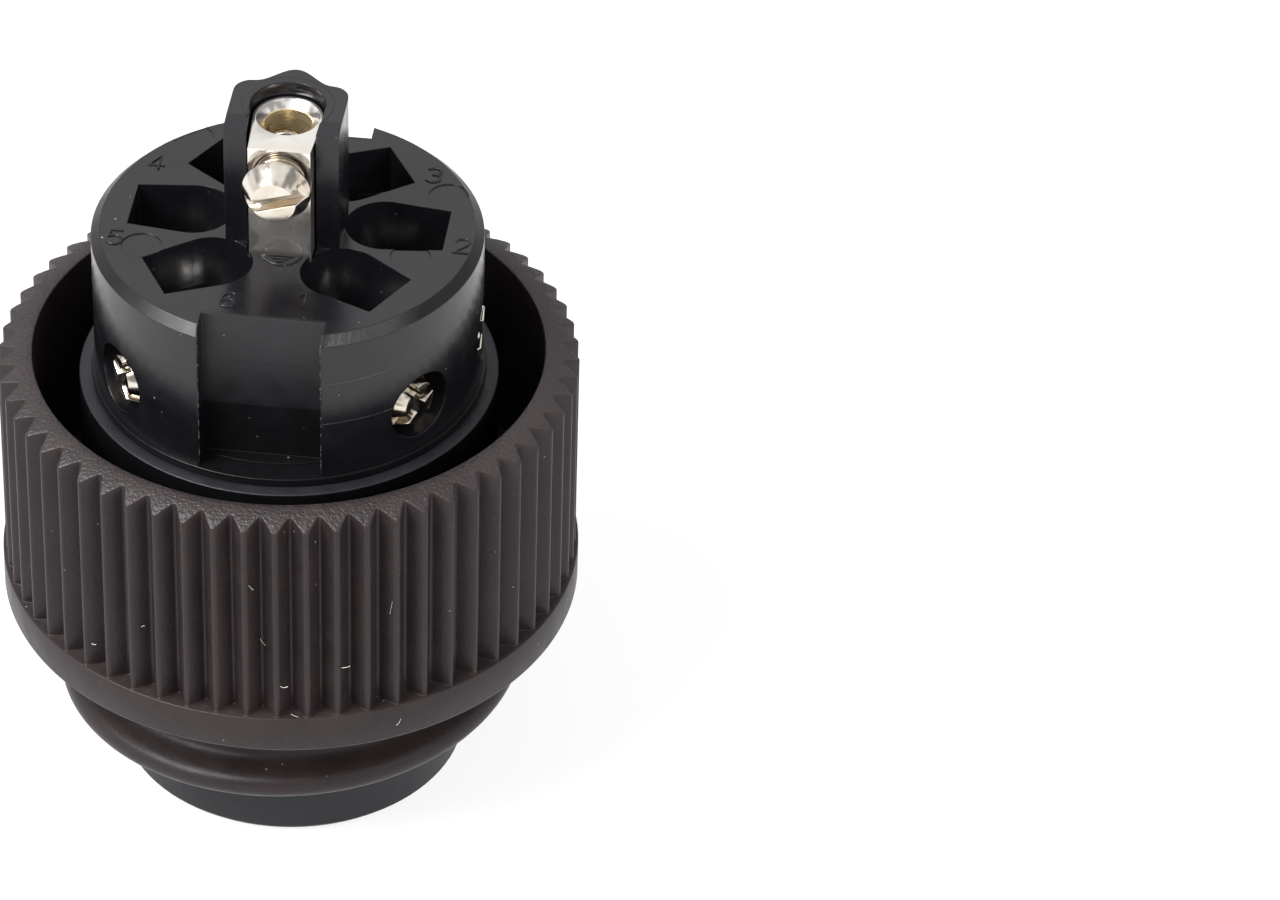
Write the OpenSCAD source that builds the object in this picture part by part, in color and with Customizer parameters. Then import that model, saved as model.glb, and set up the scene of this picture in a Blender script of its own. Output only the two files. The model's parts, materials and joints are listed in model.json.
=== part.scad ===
// Circular power connector: a six-pole and earth contact insert in its knurled, threaded coupling ring.
// The origin is the centre of the front rim. +Z runs from the mating side to the wire side.
// -Y is the side of the polarising key and the open side of the earth terminal.
// Lengths are in millimetres, and angles round the axis are counted from -Y towards +X.

/* [Front shell] */
// Distance from the pin circle to the bore of the front tube
tube_margin = 2.2; // [2:0.05:2.5]
// Wall of the front tube
tube_wall = 1.9; // [1.7:0.05:2.1]
// Height of the shoulder above the front rim
tube_len = 14.2; // [13.8:0.1:15.4]
// Width of the ledge in the rear body's mouth, under the rim of the carrier
seat_lap = 0.15; // [0.1:0.05:0.3]
// Wall of the rear body
seat_wall = 0.95; // [0.8:0.05:1.05]
// Length of the rear body above the shoulder
seat_len = 9.2; // [8.8:0.1:10]
// Thickness of the step between the tube and the rear body
step_t = 2; // [1.6:0.1:2.4]
// Chamfer round the front rim
rim_chamfer = 0.45; // [0.2:0.05:0.6]
// Width of the polarising key
key_w = 1.6; // [1.2:0.1:2]
// Height of the key above the bore
key_h = 1; // [0.7:0.1:1.2]
// Distance of the key from the front rim
key_setback = 5; // [3:0.5:8]

/* [Body seal] */
// Section diameter of the sealing ring
seal_section_d = 1; // [0.8:0.05:1.1]
// Distance of the seal below the shoulder
seal_drop = 1.6; // [1.2:0.1:3]

/* [Coupling ring] */
// Gap between the rear body and the ring, for the sleeve of a backshell
sleeve_gap = 2.3; // [2:0.05:2.5]
// Wall of the ring behind the flutes
grip_wall = 0.88; // [0.7:0.02:1.1]
// Height of the ring's mouth above the rear body
ring_rise = 1.3; // [0.6:0.1:2]
// Height of the grip, from the band's lower edge to the mouth
grip_h = 14.15; // [13.6:0.05:15]
// Height of the plain band
band_h = 2.05; // [1.5:0.05:3]
// Number of flutes round the grip
flute_count = 60; // [48:1:66]
// Depth of the flutes
flute_depth = 0.85; // [0.6:0.05:1]
// Step from the band in to the crests
crest_inset = 0.15; // [0.05:0.05:0.3]
// Drop of the bevelled rim, from the flat mouth to the crests
rim_drop = 0.5; // [0.3:0.05:0.8]
// Distance of the ring's threaded end from the front rim
neck_setback = 4.2; // [3.6:0.1:5]

/* [Coupling thread] */
// Wall of the neck under the thread's root: it sets the major diameter to 24
neck_wall = 1.2625; // [1.05:0.0125:1.4]
// Pitch of the round thread
thread_pitch = 3.175; // [3:0.025:3.4]
// Angle round the axis where the ridge starts
thread_start = 130; // [90:5:170]

/* [Front insulator] */
// Depth of the mating cavity, from the front rim to its floor
cavity_depth = 13.4; // [12.8:0.1:13.8]
// Thickness of the insulator's flange
flange_t = 0.45; // [0.3:0.05:0.7]
// Lip of the flange outside the carrier
flange_lip = 0.15; // [0.1:0.05:0.3]
// Wall of the insulator's cup
cup_wall = 0.9; // [0.7:0.05:1]
// Thickness of the insulator's disc above the shell's step
disc_t = 2; // [1.5:0.1:2.4]
// Diameter of the recess round each pin
recess_d = 2.4; // [2.2:0.05:2.6]
// Depth of that recess
recess_depth = 1; // [0.6:0.1:1.4]

/* [Contact carrier] */
// Distance from the pin circle to the carrier's wall
carrier_margin = 4.9; // [4.8:0.05:5.1]
// Height of the carrier above the flange
carrier_h = 8.3; // [7.8:0.1:9]
// Chamfer round the carrier's top
top_chamfer = 0.45; // [0.2:0.05:0.6]
// Width of the two keyways
notch_w = 6.05; // [5.6:0.05:6.4]
// Depth of each keyway from the carrier's wall
notch_depth = 1.9; // [1.5:0.05:2]
// Diameter of the ejector marks on the wire face
ejector_d = 2; // [1.6:0.1:2.2]

/* [Contact layout] */
// Radius of the circle that the six pins stand on
pitch_r = 4.8; // [4.6:0.05:4.9]
// Angle from the key to the first pin
first_pin_angle = 41.5; // [40.5:0.5:43]
// Angle from one pin to the next
pin_step_angle = 55.4; // [54.5:0.1:56]
// Distance of the earth pin from the axis, away from the key
earth_offset = 0.5; // [0.3:0.05:0.6]
// Angle from one outer screw to the next
screw_step_angle = 30; // [28:1:32]

/* [Contacts] */
// Diameter of the pins
pin_d = 1.6; // [1.5:0.05:1.7]
// Distance of the pin tips from the front rim
tip_setback = 3; // [2:0.25:5]
// Diameter of the thicker root of each pin
root_d = 1.95; // [1.92:0.01:2.05]
// Radius of the clamp block's round end
block_r = 1.72; // [1.65:0.01:1.78]
// Distance from the pin axis to the block's flat face
block_reach = 2.95; // [2.8:0.05:3.05]
// Width of the block's flat face
block_flat = 3.07; // [2.9:0.01:3.14]
// Height of the blocks
block_h = 6.4; // [6:0.1:6.6]
// Diameter of the wire hole
wire_d = 2.35; // [2.1:0.05:2.5]
// Depth of the wire hole
wire_depth = 5.2; // [4.8:0.1:5.4]
// Width of the funnel round the wire hole
wire_funnel = 0.4; // [0.2:0.05:0.45]
// Distance of the screw axis below the block's top
screw_drop = 1.75; // [1.7:0.05:2]
// Distance of the six blocks' tops below the wire face
block_sink = 4; // [3.6:0.1:4.4]

/* [Earth terminal] */
// Side wall of the earth tower
tower_wall = 0.99; // [0.9:0.01:1.1]
// Height of the tower above the wire face
tower_h = 6.85; // [6.6:0.05:7.2]
// Distance by which the earth block stands out of the tower's open front
block_proud = 0.69; // [0.5:0.01:0.9]
// Distance from the earth pin to the flat back of the tower
back_depth = 1.8; // [1.7:0.05:2]
// Height of the rounded rib behind the tower
rib_h = 1.17; // [1:0.01:1.3]
// Radius of the tower's rear corners
tower_corner_r = 0.9; // [0.6:0.05:0.9]
// Distance of the earth block's top below the tower's top
earth_sink = 0.75; // [0.5:0.05:1]
// Depth of the earth block's seat in the wire face
earth_seat = 0.35; // [0.2:0.05:0.5]

/* [Clamp screws] */
// Diameter of the threaded shank
shank_d = 2.5; // [2.3:0.05:2.6]
// Length of the shank behind the head
shank_len = 2.95; // [2.8:0.05:3.1]
// Diameter of the head's rim
head_d = 3.38; // [3.3:0.02:3.4]
// Length of the head's cone towards the shank
seat_cone_h = 0.45; // [0.4:0.05:0.5]
// Width of the head's cylindrical rim
head_rim_h = 0.12; // [0.08:0.02:0.2]
// Length of the head's outer cone
crown_h = 1; // [0.8:0.05:1.1]
// Diameter of the head's flat face
face_d = 2.2; // [2:0.05:2.4]
// Width of the driver slots
slot_w = 0.65; // [0.5:0.05:0.8]
// Depth of the driver slots
slot_depth = 0.7; // [0.5:0.05:0.8]
// Distance of the head's rim from the block while the terminal is open
screw_out = 0.8; // [0.6:0.05:1]
// Turn of the earth screw's slot
earth_slot_turn = 17; // [0:1:90]

/* [Clearances] */
// Between the coupling ring and the front tube
ring_gap = 0.25; // [0.15:0.01:0.3]
// Between the coupling ring's floor and the shoulder
floor_gap = 0.05; // [0.02:0.01:0.1]
// Between the seal and the coupling ring
seal_gap = 0.03; // [0.02:0.01:0.05]
// Round the seal in its groove
groove_gap = 0.04; // [0.02:0.01:0.08]
// Between the mouldings that nest in each other
nest_gap = 0.05; // [0.02:0.01:0.08]
// Round the roots of the pins
root_gap = 0.05; // [0.03:0.01:0.08]
// Round the six blocks' round ends
block_gap = 0.28; // [0.15:0.01:0.3]
// In front of and beside the six blocks' flats
flat_gap = 0.12; // [0.08:0.01:0.15]
// Round the earth block
earth_gap = 0.12; // [0.08:0.01:0.15]
// Round the screw shanks
shank_gap = 0.05; // [0.03:0.01:0.08]
// Round the heads of the outer screws
head_gap = 0.11; // [0.08:0.01:0.15]

/* [Hidden] */

$fn = 96;
cut = 1;  // overshoot of cutting shapes past the faces that they open
embed = 0.2;  // depth to which the thread ridge is rooted in the neck

// Heights from the front rim to the wire side
step_z = tube_len + step_t;
shell_top = tube_len + seat_len;
flange_top = shell_top + flange_t;
wire_face = flange_top + carrier_h;
tower_top = wire_face + tower_h;
ring_mouth = shell_top + ring_rise;
band_low = ring_mouth - grip_h;
band_top = band_low + band_h;
cup_floor = tube_len - floor_gap;
disc_top = step_z + disc_t;
seal_z = tube_len - seal_drop;

// Radii of the nested pieces, from the pin circle outwards
tube_bore_r = pitch_r + tube_margin;
tube_r = tube_bore_r + tube_wall;
carrier_r = pitch_r + carrier_margin;
flange_r = carrier_r + flange_lip;
seat_bore_r = carrier_r - seat_lap;
seat_r = seat_bore_r + seat_wall;
cup_r = seat_bore_r - nest_gap;
cup_bore_r = cup_r - cup_wall;
neck_bore_r = tube_r + ring_gap;
seal_section_r = seal_section_d / 2;
seal_ring_r = neck_bore_r - seal_gap - seal_section_r;
groove_r = seal_ring_r - seal_section_r - groove_gap;
groove_h = seal_section_d + 2 * groove_gap;
notch_floor = carrier_r - notch_depth;
root_hole_r = root_d / 2 + root_gap;

// Round thread, after the proportions of its standard profile
thread_depth = thread_pitch / 2;
thread_crest_arc_r = 0.2385 * thread_pitch;
thread_root_r = neck_bore_r + neck_wall;
thread_r = thread_root_r + thread_depth;
thread_flank_angle = 15;
thread_steps = 36;  // sections in one turn
thread_entry = 2;  // sections over which the ridge rises at its start
thread_low = neck_setback - 0.1 * thread_pitch;
thread_turns = (band_low + thread_pitch / 4 - thread_low) / thread_pitch;

// Knurled grip
ring_bore_r = seat_r + sleeve_gap;
valley_r = ring_bore_r + grip_wall;
crest_r = valley_r + flute_depth;
band_r = crest_r + crest_inset;
crest_angle = 0.8;  // flat on each crest
valley_angle = 0.6;  // flat in each valley

// Clamp terminals
block_top = wire_face - block_sink;
block_floor = block_top - block_h;
earth_block_top = tower_top - earth_sink;
earth_floor = wire_face - earth_seat;
earth_block_h = earth_block_top - earth_floor;
tap_r = shank_d / 2 + shank_gap;
head_r = head_d / 2;
face_r = face_d / 2;
screw_hole_r = head_r + head_gap;
head_z = block_reach + screw_out;
tap_end = block_reach - seat_cone_h - shank_len - 3 * shank_gap;
earth_socket_r = block_r + earth_gap;
tower_w = 2 * (earth_socket_r + tower_wall);
tower_front = block_reach - earth_offset - block_proud;
tower_back = earth_offset + back_depth;
tower_ledge = 1.05;  // depth of the sloped strip along the tower's front edges
tower_ledge_drop = 0.15;
tower_lead = 0.4;  // lead-in at the mouth of the tower's socket
mark_depth = 0.06;
middle_screw_angle = 90;  // of contacts 2 and 5
ejector_marks = [[6.6, 74], [8.3, 115], [7.35, -68], [8.85, -139]];  // radius, angle

// Angle of a pin about the axis, and the direction that its screw points to
function pin_angle(n) = n <= 3 ? first_pin_angle + (n - 1) * pin_step_angle
                               : -(first_pin_angle + (6 - n) * pin_step_angle);
function screw_angle(n) = n <= 3 ? middle_screw_angle + (n - 2) * screw_step_angle
                                 : -(middle_screw_angle + (5 - n) * screw_step_angle);

// Angles from -Y turned into places in the plane
function around(r, angle) = [r * sin(angle), -r * cos(angle)];
function pin_place(n) = around(pitch_r, pin_angle(n));

// Moves children to a contact's axis and turns their +X to the screw's direction
module at_contact(n) {
    translate(pin_place(n)) rotate(screw_angle(n) - 90) children();
}

module at_earth() {
    translate([0, earth_offset]) rotate(-90) children();
}

// Outline with a round end about the origin, tapering to a flat face on +X
module bullet(r, reach, flat) {
    half = flat / 2;
    far = norm([reach, half]);
    tangent = atan2(half, reach) + acos(r / far);
    circle(r = r);
    polygon([[reach, -half], [reach, half], r * [cos(tangent), sin(tangent)],
             r * [cos(tangent), -sin(tangent)]]);
}

// Knurled outline: straight-sided flutes between narrow lands
module knurl_outline() {
    pitch = 360 / flute_count;
    polygon([for (i = [0:flute_count - 1], k = [0:3])
        let (a = i * pitch + [-crest_angle / 2, crest_angle / 2, (pitch - valley_angle) / 2,
                              (pitch + valley_angle) / 2][k],
             r = k < 2 ? crest_r : valley_r)
        around(r, a)]);
}

// One section of the thread ridge, as [radius, height] pairs about its own centre line.
// rise is 0 where the ridge is still below the root and 1 where it stands at full height.
function ridge_section(rise) =
    let (centre = thread_r - thread_crest_arc_r,
         drop = (1 - rise) * (thread_depth + embed / 2),
         arc = [for (a = [-90 + thread_flank_angle:(180 - 2 * thread_flank_angle) / 5:90 - thread_flank_angle + 0.01])
                   [centre - drop + thread_crest_arc_r * cos(a), thread_crest_arc_r * sin(a)]],
         base_r = thread_root_r - embed,
         spread = (arc[0][0] - base_r) * tan(thread_flank_angle),
         base = max(spread, 0.1))
    concat([[min(base_r, arc[0][0] - 0.05), arc[0][1] - base]], arc,
           [[min(base_r, arc[5][0] - 0.05), arc[5][1] + base]]);

// The ridge, swept up its helix from the neck's front face into the band
module thread_ridge() {
    count = ceil(thread_turns * thread_steps);
    side = 8;
    points = [for (i = [0:count])
        let (angle = thread_start + i * 360 / thread_steps,
             z = thread_low + i * thread_pitch / thread_steps)
        each [for (p = ridge_section(min(i / thread_entry, 1)))
            concat(around(p[0], angle), z + p[1])]];
    walls = [for (i = [0:count - 1], k = [0:side - 1])
        let (a = i * side + k, b = i * side + (k + 1) % side)
        each [[a, b, a + side], [b, b + side, a + side]]];
    last = count * side;
    polyhedron(points, concat(walls, [[for (k = [side - 1:-1:0]) k]],
                              [[for (k = [0:side - 1]) last + k]]), convexity = 6);
}

module coupling_ring() {
    color([0.24, 0.2, 0.2])
    difference() {
        union() {
            intersection() {
                translate([0, 0, band_low]) linear_extrude(grip_h) knurl_outline();
                rotate_extrude() polygon([[0, band_low], [crest_r, band_low],
                    [crest_r, ring_mouth - rim_drop], [valley_r, ring_mouth], [0, ring_mouth]]);
            }
            translate([0, 0, band_low]) cylinder(r = band_r, h = band_h);
            translate([0, 0, neck_setback])
                cylinder(r = thread_root_r, h = band_low - neck_setback + embed);
            intersection() {
                thread_ridge();
                translate([0, 0, neck_setback]) cylinder(r = band_r, h = grip_h);
            }
        }
        translate([0, 0, neck_setback - cut]) cylinder(r = neck_bore_r, h = grip_h + cup_floor);
        translate([0, 0, cup_floor]) cylinder(r = ring_bore_r, h = grip_h + cut);
    }
}

module front_shell() {
    color([0.36, 0.36, 0.39])
    difference() {
        union() {
            rotate_extrude() polygon([[tube_bore_r, 0], [tube_r - rim_chamfer, 0],
                [tube_r, rim_chamfer], [tube_r, tube_len], [seat_r, tube_len],
                [seat_r, shell_top], [seat_bore_r, shell_top], [seat_bore_r, step_z],
                [tube_bore_r, step_z]]);
            intersection() {
                translate([-key_w / 2, -(tube_bore_r + embed), key_setback])
                    cube([key_w, key_h + embed, cavity_depth - key_setback]);
                cylinder(r = tube_bore_r + embed, h = tube_len);
            }
        }
        // Groove for the body seal
        translate([0, 0, seal_z - groove_h / 2]) difference() {
            cylinder(r = tube_r + cut, h = groove_h);
            translate([0, 0, -cut]) cylinder(r = groove_r, h = groove_h + 2 * cut);
        }
    }
}

module body_seal() {
    color([0.12, 0.12, 0.13])
    translate([0, 0, seal_z]) rotate_extrude()
        translate([seal_ring_r, 0]) circle(r = seal_section_r, $fn = 48);
}

module front_insulator() {
    spigot_r = tube_bore_r - nest_gap;
    color([0.13, 0.12, 0.14])
    difference() {
        rotate_extrude() polygon([[0, cavity_depth], [spigot_r, cavity_depth], [spigot_r, step_z],
            [cup_r, step_z], [cup_r, shell_top], [flange_r, shell_top], [flange_r, flange_top],
            [cup_bore_r, flange_top], [cup_bore_r, disc_top], [0, disc_top]]);
        for (n = [1:6]) translate(pin_place(n)) pin_passage();
        translate([0, earth_offset]) pin_passage();
    }
}

// Hole through the insulator, with the wider recess that shows round a pin
module pin_passage() {
    translate([0, 0, cavity_depth - cut])
        cylinder(r = root_hole_r, h = disc_top - cavity_depth + 2 * cut);
    translate([0, 0, cavity_depth - cut]) cylinder(d = recess_d, h = recess_depth + cut);
}

// Socket for one of the six blocks, its pin hole and the side hole for its screw
module terminal_cut() {
    translate([0, 0, block_floor]) linear_extrude(block_sink + block_h + cut)
        bullet(block_r + block_gap, block_reach + flat_gap, block_flat + 2 * flat_gap);
    translate([0, 0, disc_top]) cylinder(r = root_hole_r, h = block_floor - disc_top + cut);
    translate([block_reach, 0, block_top - screw_drop]) rotate([0, 90, 0])
        cylinder(r = screw_hole_r, h = carrier_r);
}

// Plan of the earth tower: rounded rear corners, with a rounded rib between them
module tower_outline() {
    half = tower_w / 2;
    corner = half - tower_corner_r;
    polygon(concat(
        [[half, -tower_front]],
        [for (a = [0:15:90]) [corner, tower_back - tower_corner_r] + tower_corner_r * [cos(a), sin(a)]],
        [for (x = [0.9:-0.1:-0.9]) [x * corner, tower_back + rib_h * (1 + cos(180 * x)) / 2]],
        [for (a = [90:15:180]) [-corner, tower_back - tower_corner_r] + tower_corner_r * [cos(a), sin(a)]],
        [[-half, -tower_front]]));
}

module earth_tower() {
    translate([0, 0, wire_face - embed]) linear_extrude(tower_h + embed) tower_outline();
}

// Space for the earth block, open to the front and the top, with a lead-in at the round end
module earth_socket() {
    at_earth() {
        translate([0, 0, earth_floor]) linear_extrude(tower_h + carrier_h)
            bullet(earth_socket_r, block_reach + earth_gap, block_flat + 2 * earth_gap);
        translate([0, 0, tower_top - tower_lead])
            cylinder(r1 = earth_socket_r, r2 = earth_socket_r + tower_lead + cut, h = tower_lead + cut);
    }
}

// Sloped strips on the tower's two front walls
module tower_slope() {
    translate([-tower_w, 0, 0]) rotate([90, 0, 90]) linear_extrude(2 * tower_w)
        polygon([[tower_ledge - tower_front, tower_top], [-tower_front - cut, tower_top],
                 [-tower_front - cut, tower_top - tower_ledge_drop],
                 [-tower_front, tower_top - tower_ledge_drop]]);
}

module contact_carrier() {
    spigot_r = cup_bore_r - nest_gap;
    color([0.15, 0.14, 0.16])
    difference() {
        union() {
            rotate_extrude() polygon([[0, disc_top], [spigot_r, disc_top], [spigot_r, flange_top],
                [carrier_r, flange_top], [carrier_r, wire_face - top_chamfer],
                [carrier_r - top_chamfer, wire_face], [0, wire_face]]);
            earth_tower();
        }
        for (n = [1:6]) at_contact(n) terminal_cut();
        earth_socket();
        tower_slope();
        translate([0, earth_offset, disc_top - cut])
            cylinder(r = root_hole_r, h = earth_floor - disc_top + 2 * cut);
        // Two keyways, from the wire face down to the flange
        for (side = [-1, 1])
            translate([-notch_w / 2, side > 0 ? notch_floor : -notch_floor - carrier_r, flange_top])
                cube([notch_w, carrier_r, carrier_h + cut]);
        // Ejector marks between the terminals
        for (mark = ejector_marks)
            translate(concat(around(mark[0], mark[1]), wire_face - mark_depth))
                cylinder(d = ejector_d, h = cut);
    }
}

// Pin with a round tip, on a thicker root that ends under a clamp block
module pin(base_z) {
    pin_r = pin_d / 2;
    translate([0, 0, tip_setback + pin_r]) sphere(r = pin_r, $fn = 48);
    translate([0, 0, tip_setback + pin_r]) cylinder(r = pin_r, h = cavity_depth - tip_setback);
    translate([0, 0, cavity_depth]) cylinder(r = root_d / 2, h = base_z - cavity_depth + embed);
}

// Clamp block and its pin, turned in one piece: +X is the screw's direction
module contact(floor_z, height) {
    top = floor_z + height;
    difference() {
        union() {
            translate([0, 0, floor_z]) linear_extrude(height) bullet(block_r, block_reach, block_flat);
            pin(floor_z);
        }
        translate([0, 0, top - wire_depth]) cylinder(d = wire_d, h = wire_depth + cut);
        translate([0, 0, top - wire_funnel])
            cylinder(r1 = wire_d / 2, r2 = wire_d / 2 + wire_funnel + cut, h = wire_funnel + cut);
        translate([0, 0, top - screw_drop]) rotate([0, 90, 0]) {
            translate([0, 0, tap_end]) cylinder(r = tap_r, h = block_reach - tap_end + cut);
            translate([0, 0, block_reach - seat_cone_h])
                cylinder(r1 = tap_r, r2 = tap_r + (head_r - shank_d / 2) * (1 + cut / seat_cone_h),
                         h = seat_cone_h + cut);
        }
    }
}

// Clamp screw along +X of a contact, backed out as for wiring
module clamp_screw(slot_turns) {
    shank_r = shank_d / 2;
    tip = 0.3;
    cone_z = head_z - seat_cone_h;
    rim_z = head_z + head_rim_h;
    face_z = rim_z + crown_h;
    rotate([0, 90, 0]) difference() {
        rotate_extrude() polygon([[0, cone_z - shank_len], [shank_r - tip, cone_z - shank_len],
            [shank_r, cone_z - shank_len + tip], [shank_r, cone_z], [head_r, head_z],
            [head_r, rim_z], [face_r, face_z], [0, face_z]]);
        for (turn = slot_turns)
            translate([0, 0, face_z - slot_depth]) rotate(turn)
                translate([-head_d, -slot_w / 2, 0]) cube([2 * head_d, slot_w, slot_depth + cut]);
    }
}

module outer_contact(n) {
    color([0.8, 0.78, 0.74]) at_contact(n) contact(block_floor, block_h);
}

module outer_screw(n) {
    color([0.8, 0.76, 0.68]) at_contact(n) translate([0, 0, block_top - screw_drop])
        clamp_screw([n * 25, n * 25 + 90]);
}

module contact_1() { outer_contact(1); }
module contact_2() { outer_contact(2); }
module contact_3() { outer_contact(3); }
module contact_4() { outer_contact(4); }
module contact_5() { outer_contact(5); }
module contact_6() { outer_contact(6); }

module contact_earth() {
    color([0.8, 0.78, 0.74]) at_earth() contact(earth_floor, earth_block_h);
}

module clamp_screw_1() { outer_screw(1); }
module clamp_screw_2() { outer_screw(2); }
module clamp_screw_3() { outer_screw(3); }
module clamp_screw_4() { outer_screw(4); }
module clamp_screw_5() { outer_screw(5); }
module clamp_screw_6() { outer_screw(6); }

module clamp_screw_earth() {
    color([0.8, 0.76, 0.68]) at_earth() translate([0, 0, earth_block_top - screw_drop])
        clamp_screw([90 + earth_slot_turn]);
}

coupling_ring();
front_shell();
body_seal();
front_insulator();
contact_carrier();
contact_1();
contact_2();
contact_3();
contact_4();
contact_5();
contact_6();
contact_earth();
clamp_screw_1();
clamp_screw_2();
clamp_screw_3();
clamp_screw_4();
clamp_screw_5();
clamp_screw_6();
clamp_screw_earth();
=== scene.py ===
import json
import math
import random

import bpy
import bmesh
from mathutils import Matrix, Vector


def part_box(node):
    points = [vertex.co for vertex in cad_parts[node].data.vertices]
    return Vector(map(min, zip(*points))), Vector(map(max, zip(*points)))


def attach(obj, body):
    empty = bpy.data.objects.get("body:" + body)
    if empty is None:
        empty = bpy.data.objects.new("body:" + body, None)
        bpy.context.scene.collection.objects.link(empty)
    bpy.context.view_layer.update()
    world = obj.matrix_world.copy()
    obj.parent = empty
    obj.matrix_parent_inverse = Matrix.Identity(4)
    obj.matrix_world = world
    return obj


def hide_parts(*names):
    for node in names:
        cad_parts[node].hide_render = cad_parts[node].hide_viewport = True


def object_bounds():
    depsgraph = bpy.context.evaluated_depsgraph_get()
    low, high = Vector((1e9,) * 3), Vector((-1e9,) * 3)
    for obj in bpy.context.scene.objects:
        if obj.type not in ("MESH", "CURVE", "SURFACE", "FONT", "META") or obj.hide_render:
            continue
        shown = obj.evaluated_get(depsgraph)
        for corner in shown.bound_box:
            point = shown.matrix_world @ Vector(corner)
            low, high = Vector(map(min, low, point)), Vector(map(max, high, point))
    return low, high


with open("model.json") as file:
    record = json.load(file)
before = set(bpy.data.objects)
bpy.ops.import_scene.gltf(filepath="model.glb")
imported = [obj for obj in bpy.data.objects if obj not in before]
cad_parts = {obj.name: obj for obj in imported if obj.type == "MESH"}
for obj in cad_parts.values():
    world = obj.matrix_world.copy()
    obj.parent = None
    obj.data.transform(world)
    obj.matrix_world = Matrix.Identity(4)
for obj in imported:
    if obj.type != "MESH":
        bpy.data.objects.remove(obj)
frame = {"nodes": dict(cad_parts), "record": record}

cad_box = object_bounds()

MM = 0.001

# ---------------------------------------------------------------- places read from the frame

CARRIER_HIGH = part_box("contact_carrier")[1]
INSULATOR_LOW, INSULATOR_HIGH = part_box("front_insulator")
SHELL_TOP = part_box("front_shell")[1].z
RING_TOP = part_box("coupling_ring")[1].z

TOWER_TOP = CARRIER_HIGH.z
FLANGE_TOP = INSULATOR_HIGH.z
WIRE_FACE = FLANGE_TOP + 8.3 * MM
MATING_FLOOR = INSULATOR_LOW.z

# The carrier's two parting lines round its wall, and the top of a painted rim shadow in its keyways
PARTINGS = (FLANGE_TOP + 5.55 * MM, FLANGE_TOP + 3.15 * MM)
NOTCH_SHADOW_LINE = FLANGE_TOP + 2.95 * MM

# The contacts, in millimetres and degrees
PIN_CIRCLE_R, EARTH_Y = 4.8, 0.5
FIRST_PIN, PIN_STEP, MIDDLE_SCREW, SCREW_STEP = 41.5, 55.4, 90, 30
BLOCK_TOP, EARTH_BLOCK_TOP, SCREW_DROP = 28.15, 38.25, 1.75


def around(radius, degrees, z=0.0):
    """A place by its radius and its angle, which counts from -Y towards +X."""
    turn = math.radians(degrees)
    return Vector((radius * math.sin(turn), -radius * math.cos(turn), z))


# ---------------------------------------------------------------- node helpers

class Nodes:
    """A small builder for one material's nodes."""

    def __init__(self, name):
        self.material = bpy.data.materials.new(name)
        self.material.use_nodes = True
        self.tree = self.material.node_tree
        self.shader = self.tree.nodes["Principled BSDF"]
        self.place = self.add("ShaderNodeTexCoord").outputs["Object"]

    def add(self, kind, **settings):
        node = self.tree.nodes.new(kind)
        for key, value in settings.items():
            setattr(node, key, value)
        return node

    def feed(self, socket, value):
        if isinstance(value, bpy.types.NodeSocket):
            self.tree.links.new(value, socket)
        else:
            socket.default_value = value

    def math(self, operation, a, b=0.0, clamp=False):
        node = self.add("ShaderNodeMath", operation=operation, use_clamp=clamp)
        self.feed(node.inputs[0], a)
        self.feed(node.inputs[1], b)
        return node.outputs[0]

    def mix(self, factor, a, b, blend="MIX"):
        node = self.add("ShaderNodeMix", data_type="RGBA", blend_type=blend)
        self.feed(node.inputs["Factor"], factor)
        self.feed(node.inputs["A"], a)
        self.feed(node.inputs["B"], b)
        return node.outputs["Result"]

    def split(self, vector):
        node = self.add("ShaderNodeSeparateXYZ")
        self.feed(node.inputs[0], vector)
        return node.outputs

    def length(self, vector):
        node = self.add("ShaderNodeVectorMath", operation="LENGTH")
        self.feed(node.inputs[0], vector)
        return node.outputs["Value"]

    def facing_up(self):
        """1 where the surface faces up, 0 on a wall and -1 where it faces down."""
        return self.split(self.add("ShaderNodeNewGeometry").outputs["Normal"])[2]

    def stretch(self, scale):
        node = self.add("ShaderNodeMapping")
        self.feed(node.inputs["Vector"], self.place)
        node.inputs["Scale"].default_value = scale
        return node.outputs["Vector"]

    def noise(self, scale, detail=3.0, rough=0.55, vector=None, distortion=0.0):
        node = self.add("ShaderNodeTexNoise")
        self.feed(node.inputs["Vector"], vector or self.place)
        node.inputs["Scale"].default_value = scale
        node.inputs["Detail"].default_value = detail
        node.inputs["Roughness"].default_value = rough
        node.inputs["Distortion"].default_value = distortion
        return node.outputs["Fac"]

    def spread(self, value, low, high, out_low=0.0, out_high=1.0):
        node = self.add("ShaderNodeMapRange")
        self.feed(node.inputs["Value"], value)
        node.inputs["From Min"].default_value = low
        node.inputs["From Max"].default_value = high
        node.inputs["To Min"].default_value = out_low
        node.inputs["To Max"].default_value = out_high
        return node.outputs["Result"]

    def specks(self, scale, size, share):
        """Small round spots: one in some of the cells, with sizes that vary."""
        cells = self.add("ShaderNodeTexVoronoi", feature="F1")
        self.feed(cells.inputs["Vector"], self.place)
        cells.inputs["Scale"].default_value = scale
        cells.inputs["Randomness"].default_value = 1.0
        pick = self.add("ShaderNodeSeparateColor")
        self.feed(pick.inputs[0], cells.outputs["Color"])
        chosen = self.math("LESS_THAN", pick.outputs[0], share)
        radius = self.math("MULTIPLY", pick.outputs[1], size)
        inside = self.math("LESS_THAN", cells.outputs["Distance"], radius)
        return self.math("MULTIPLY", chosen, inside)

    def bump(self, height, strength, distance, before=None):
        node = self.add("ShaderNodeBump")
        node.inputs["Strength"].default_value = strength
        node.inputs["Distance"].default_value = distance
        self.feed(node.inputs["Height"], height)
        if before is not None:
            self.feed(node.inputs["Normal"], before)
        return node.outputs["Normal"]


# Each of the three functions below returns a relief's height, the share by which colour is darkened
# and sheen taken off (painted shade in the carrier's notch and the shell's cup; below 0 sheen is
# added) and the roughness to add.

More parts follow.
